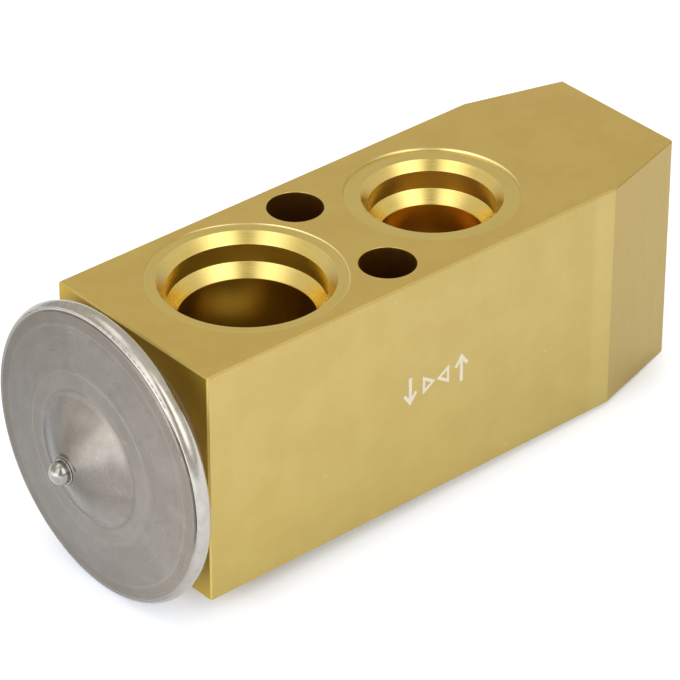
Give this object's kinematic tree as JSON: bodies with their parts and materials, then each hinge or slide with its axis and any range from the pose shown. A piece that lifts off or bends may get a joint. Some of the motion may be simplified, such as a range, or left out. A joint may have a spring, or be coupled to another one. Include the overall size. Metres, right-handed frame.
{
  "type": "thermostatic expansion valve",
  "caption": "Block-type refrigerant expansion valve with a round diaphragm head, stepped suction and liquid ports, bolt holes, a tapered tail and a screw plug for the spring.",
  "frame": {"origin": "centre of the two-bolt pattern on the lower port face", "axes": "+X along the valve axis from the head to the tapered tail, +Z out of the upper port face, +Y to the left when looking from the head to the tail"},
  "size_m": [0.0899, 0.0378, 0.0378],
  "materials": {
    "block_gold": "gold anodised, satin",
    "head_steel": "pressed stainless steel, dull",
    "polished_steel": "polished steel",
    "spring_steel": "spring steel",
    "plain_aluminium": "turned aluminium",
    "brass_part": "turned brass",
    "seal_rubber": "dark green seal rubber"
  },
  "bodies": {
    "block": {"valve_body": "block_gold", "head_cap": "head_steel", "sealing_ball": "polished_steel", "diaphragm": "spring_steel", "head_base": "head_steel", "head_seal": "seal_rubber", "pin_o_ring": "seal_rubber", "pin_washer": "brass_part", "pin_retainer": "spring_steel", "superheat_spring": "spring_steel"},
    "lift_train": {"stopper_plate": "brass_part", "sensing_rod": "plain_aluminium", "push_pin": "polished_steel", "valve_ball": "polished_steel", "ball_holder": "brass_part", "damping_ring": "spring_steel"},
    "nut_seal": {"adjusting_o_ring": "seal_rubber"},
    "adjuster": {"adjusting_nut": "brass_part"}
  },
  "joints": [
    {"name": "valve_lift", "type": "slide", "parent": "block", "child": "lift_train", "axis": [1, 0, 0], "range_m": [0, 0.0008], "stiffness_N_per_m": 3000, "springref_m": -0.002, "deforming": ["superheat_spring", "diaphragm"]},
    {"name": "nut_travel", "type": "slide", "parent": "block", "child": "nut_seal", "axis": [1, 0, 0], "range_m": [-0.00151, 0.00051], "deforming": ["superheat_spring"]},
    {"name": "nut_turn", "type": "hinge", "parent": "nut_seal", "child": "adjuster", "pos_m": [0.0457, 0, 0.0161], "axis": [1, 0, 0], "range_deg": [-540, 180]}
  ],
  "couplings": [
    {"joint": "nut_travel", "follows": "nut_turn", "m_per_rad": 0.00015915}
  ]
}
